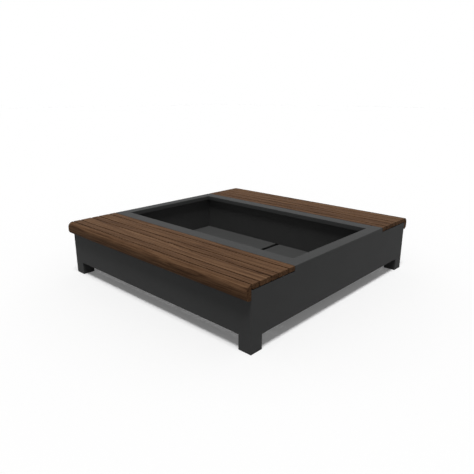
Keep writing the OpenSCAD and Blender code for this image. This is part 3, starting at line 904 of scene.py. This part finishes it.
for seed, (end, facing) in enumerate((("front", -1), ("back", 1))):
    fixings(f"slat_fixings_{end}", pan_screw(SLAT_SCREW_D, BAR + BITE),
            [((x, facing * y, STEP_Z), (0, 0, 1)) for x in pairs_x for y in screws_y],
            seed, f"slat_screws_{end}")
fixings("nose_fixings", pan_screw(NOSE_SCREW_D, SHEET + BITE),
        [((x, facing * (HALF_W - SHEET), RIM_Z - drop), (0, facing, 0))
         for facing in BOTH for x in nose_x for drop in NOSE_SCREW_DROPS], 2, "nose_screws")
fixings("bearer_bolt_set", hex_shank(BEARER_BOLT_D, BAR + SHEET),
        [((x, facing * (CROSS_Y + BAR), bearer_low.z + BOLT_RISE), (0, facing, 0))
         for facing in BOTH for x in pairs_x], 3, "bearer_bolts")
fixings("bearer_sunk_bolt_set", sunk_bolt(BEARER_BOLT_D, BAR + SHEET),
        [((x, facing * (HALF_W - (SHEET + LEDGE) / 2), slat_bottom), (0, 0, 1))
         for facing in BOTH for x in pairs_x], 4, "bearer_screws")
fixings("leg_bolt_set", hex_shank(LEG_BOLT_D, plate_top - leg_high.z + LEG_CAP),
        [((sx * leg_mid.x + dx * LEG_BOLT_HALF_PITCH, sy * leg_mid.y + dy * LEG_BOLT_HALF_PITCH, plate_top),
          (0, 0, 1))
         for sx in BOTH for sy in BOTH for dx in BOTH for dy in BOTH], 5, "leg_bolts")


# ---------------------------------------------------------------- Welds
# Fillet welds laid by hand with a fine ripple and painted over: ribs and plates of the
# bearers, corner plates, bed corners, and the floor beams under the cross walls.
BEAD_R, BED_BEAD_R, BEAM_BEAD_R = 0.0028, 0.0024, 0.0022
RIPPLE = 0.0035
SWELL = (0.86, 1.08)
SWELL_SEED = 3
BEAD_SIDES = 8
# How far beads stop short of the ends of their seams, and how far below the flat the ribs'
# upright beads start and end.
RUN_SHORT, BEAM_SHORT_IN, BEAM_SHORT_OUT = 0.004, 0.002, 0.003
RIB_START, RIB_DEPTH = 0.0005, 0.038

weld_tree = bpy.data.node_groups.new("weld_runs", "GeometryNodeTree")
inputs = add_inputs(weld_tree, ("Path", "Object"), ("Bead radius", "Float"), ("Ripple", "Float"),
                    ("Finish", "Material"))
path = add_node(weld_tree, "GeometryNodeObjectInfo", {"Object": inputs["Path"]})
line = add_node(weld_tree, "GeometryNodeMeshToCurve", {"Mesh": path.outputs["Geometry"]})
fine = add_node(weld_tree, "GeometryNodeResampleCurve",
                {"Curve": line.outputs[0], "Length": maths(weld_tree, "MULTIPLY", inputs["Ripple"], 0.5)},
                mode="LENGTH")
wobble = add_node(weld_tree, "FunctionNodeRandomValue", {2: SWELL[0], 3: SWELL[1], "Seed": SWELL_SEED},
                  data_type="FLOAT")
swell = add_node(weld_tree, "GeometryNodeSetCurveRadius",
                 {"Curve": fine.outputs[0], "Radius": wobble.outputs[1]})
ring = add_node(weld_tree, "GeometryNodeCurvePrimitiveCircle",
                {"Resolution": BEAD_SIDES, "Radius": inputs["Bead radius"]}, mode="RADIUS")
bead = add_node(weld_tree, "GeometryNodeCurveToMesh",
                {"Curve": swell.outputs[0], "Profile Curve": ring.outputs[0], "Fill Caps": True})
finish_tree(weld_tree, bead.outputs[0], inputs["Finish"])


def weld(name, lines, radius, material, slot):
    """A bead along each straight line of a piece's welds."""
    paths = marker(name + "_paths", [p for line in lines for p in line],
                   [(2 * i, 2 * i + 1) for i in range(len(lines))])
    piece = run_tree(name, weld_tree,
                     {"Path": paths, "Bead radius": radius, "Ripple": RIPPLE, "Finish": material})
    settle(piece, slot)
    piece.data.shade_smooth()
    bpy.data.objects.remove(paths)


lines = []
for facing in BOTH:
    inner, outer = facing * (CROSS_Y + BAR), facing * (HALF_W - LEDGE - RUN_SHORT)
    for x in bearers_x:
        for side in BOTH:
            rib = x + side * BAR / 2
            lines.append(((rib, inner, STEP_Z), (rib, outer, STEP_Z)))
            lines.append(((rib, inner, STEP_Z - RIB_START), (rib, inner, STEP_Z - RIB_DEPTH)))
weld("bearer_welds", lines, BEAD_R, FRAME_STEEL, "frame_steel")

lines = []
for sx in BOTH:
    for sy in BOTH:
        web = (sx * (HALF_L - SHEET), sy * (HALF_W - SHEET), plate_top)
        lines.append((web, (web[0], sy * (HALF_W - CORNER + RUN_SHORT), plate_top)))
        lines.append((web, (sx * (HALF_L - CORNER + RUN_SHORT), web[1], plate_top)))
weld("corner_plate_welds", lines, BEAD_R, FRAME_STEEL, "frame_steel")

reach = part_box("inner_wall_right")[1].y
lines = [((sx * bed_x, sy * reach, bed_z + INNER_R), (sx * bed_x, sy * reach, wall_top - INNER_R))
         for sx in BOTH for sy in BOTH]
weld("bed_corner_welds", lines, BED_BEAD_R, BED_STEEL, "bed_steel")

lines = []
for i in range(1, 5):
    low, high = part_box(f"floor_beam_{i}")
    for x in (low.x, high.x):
        for sy in BOTH:
            lines.append(((x, sy * (CROSS_Y - LEDGE + BEAM_SHORT_IN), LEG_Z),
                          (x, sy * (CROSS_Y - BEAM_SHORT_OUT), LEG_Z)))
weld("floor_beam_welds", lines, BEAM_BEAD_R, FRAME_STEEL, "frame_steel")


# ---------------------------------------------------------------- Ready
# The bounds of the dressed part, leaving out the backdrop, are found.
low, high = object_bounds()
